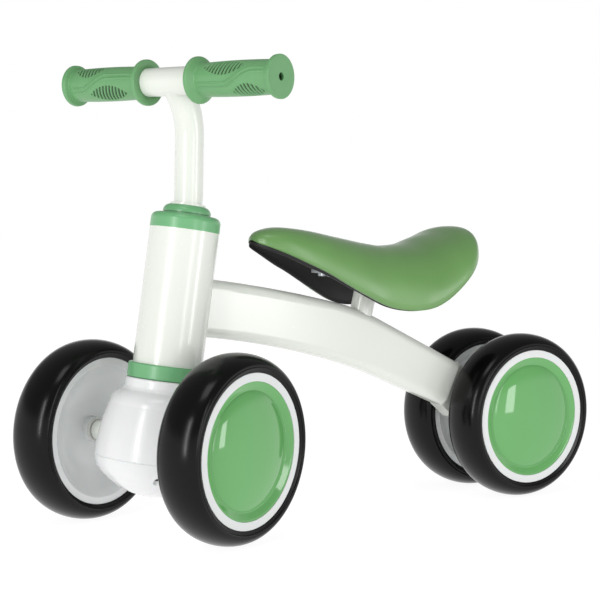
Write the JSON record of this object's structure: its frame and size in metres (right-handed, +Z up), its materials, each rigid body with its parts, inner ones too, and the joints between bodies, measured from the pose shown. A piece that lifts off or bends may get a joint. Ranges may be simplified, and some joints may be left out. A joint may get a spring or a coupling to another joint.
{
  "type": "baby balance bike",
  "caption": "Low ride-on balance bike for a toddler: curved beam, raked head tube with steering, padded saddle, straight bar with rubber grips and wide foam tyres.",
  "frame": {"origin": "on the floor, in the beam's middle plane, half way between the front and rear axles", "axes": "+X forward, +Y to the rider's left, +Z up; the steering is turned 19.6 degrees to the left at rest"},
  "size_m": [0.516, 0.2232, 0.3656],
  "materials": {
    "white_paint": "gloss",
    "white_plastic": "gloss",
    "green_plastic": "gloss",
    "green_trim": "satin",
    "grip_rubber": "matte",
    "saddle_cover": "satin",
    "black_plastic": "matte",
    "foam_tyre": "satin",
    "nylon": "satin",
    "zinc_steel": "satin"
  },
  "bodies": {
    "frame": {"frame_beam": "white_paint", "head_tube": "white_paint", "rear_axle_bracket": "white_paint", "seat_post": "white_paint", "saddle_plate": "zinc_steel", "saddle_screws": "zinc_steel", "saddle_shell": "black_plastic", "saddle_pad": "saddle_cover", "lower_head_ring": "green_trim", "lower_head_bush": "nylon", "upper_head_bush": "nylon", "upper_head_cap": "green_trim", "rear_axle": "zinc_steel", "rear_axle_washers": "zinc_steel", "rear_axle_nuts": "zinc_steel"},
    "steering": {"stem_collar": "green_trim", "stem_stop_ring": "white_paint", "fork_crown": "white_paint", "fork_housing_upper": "white_plastic", "fork_housing_lower": "white_plastic", "housing_screws": "zinc_steel", "stem_tube": "white_paint", "handlebar_tube": "white_paint", "stem_bolt": "zinc_steel", "stem_nut": "zinc_steel", "grip_left": "grip_rubber", "grip_right": "grip_rubber", "front_axle": "zinc_steel", "front_axle_washers": "zinc_steel", "front_axle_nuts": "zinc_steel"},
    "front_left_wheel": {"front_left_wheel_tyre": "foam_tyre", "front_left_wheel_rim": "white_plastic", "front_left_wheel_cap": "green_plastic", "front_left_wheel_bush": "nylon"},
    "front_right_wheel": {"front_right_wheel_tyre": "foam_tyre", "front_right_wheel_rim": "white_plastic", "front_right_wheel_cap": "green_plastic", "front_right_wheel_bush": "nylon"},
    "rear_left_wheel": {"rear_left_wheel_tyre": "foam_tyre", "rear_left_wheel_rim": "white_plastic", "rear_left_wheel_cap": "green_plastic", "rear_left_wheel_bush": "nylon"},
    "rear_right_wheel": {"rear_right_wheel_tyre": "foam_tyre", "rear_right_wheel_rim": "white_plastic", "rear_right_wheel_cap": "green_plastic", "rear_right_wheel_bush": "nylon"}
  },
  "joints": [
    {"name": "steering", "type": "hinge", "parent": "frame", "child": "steering", "pos_m": [0.1754, 0, 0.0725], "axis": [-0.1305, 0, 0.9914], "range_deg": [-64.6, 25.4]},
    {"name": "front_left_wheel_spin", "type": "hinge", "parent": "steering", "child": "front_left_wheel", "pos_m": [0.14931, 0.06969, 0.0725], "axis": [-0.3355, 0.9421, 0], "continuous": true},
    {"name": "rear_left_wheel_spin", "type": "hinge", "parent": "frame", "child": "rear_left_wheel", "pos_m": [-0.1742, 0.0314, 0.0725], "axis": [0, 1, 0], "continuous": true},
    {"name": "front_right_wheel_spin", "type": "hinge", "parent": "steering", "child": "front_right_wheel", "pos_m": [0.19923, -0.07049, 0.0725], "axis": [-0.3355, 0.9421, 0], "continuous": true},
    {"name": "rear_right_wheel_spin", "type": "hinge", "parent": "frame", "child": "rear_right_wheel", "pos_m": [-0.1742, -0.0314, 0.0725], "axis": [0, 1, 0], "continuous": true}
  ]
}
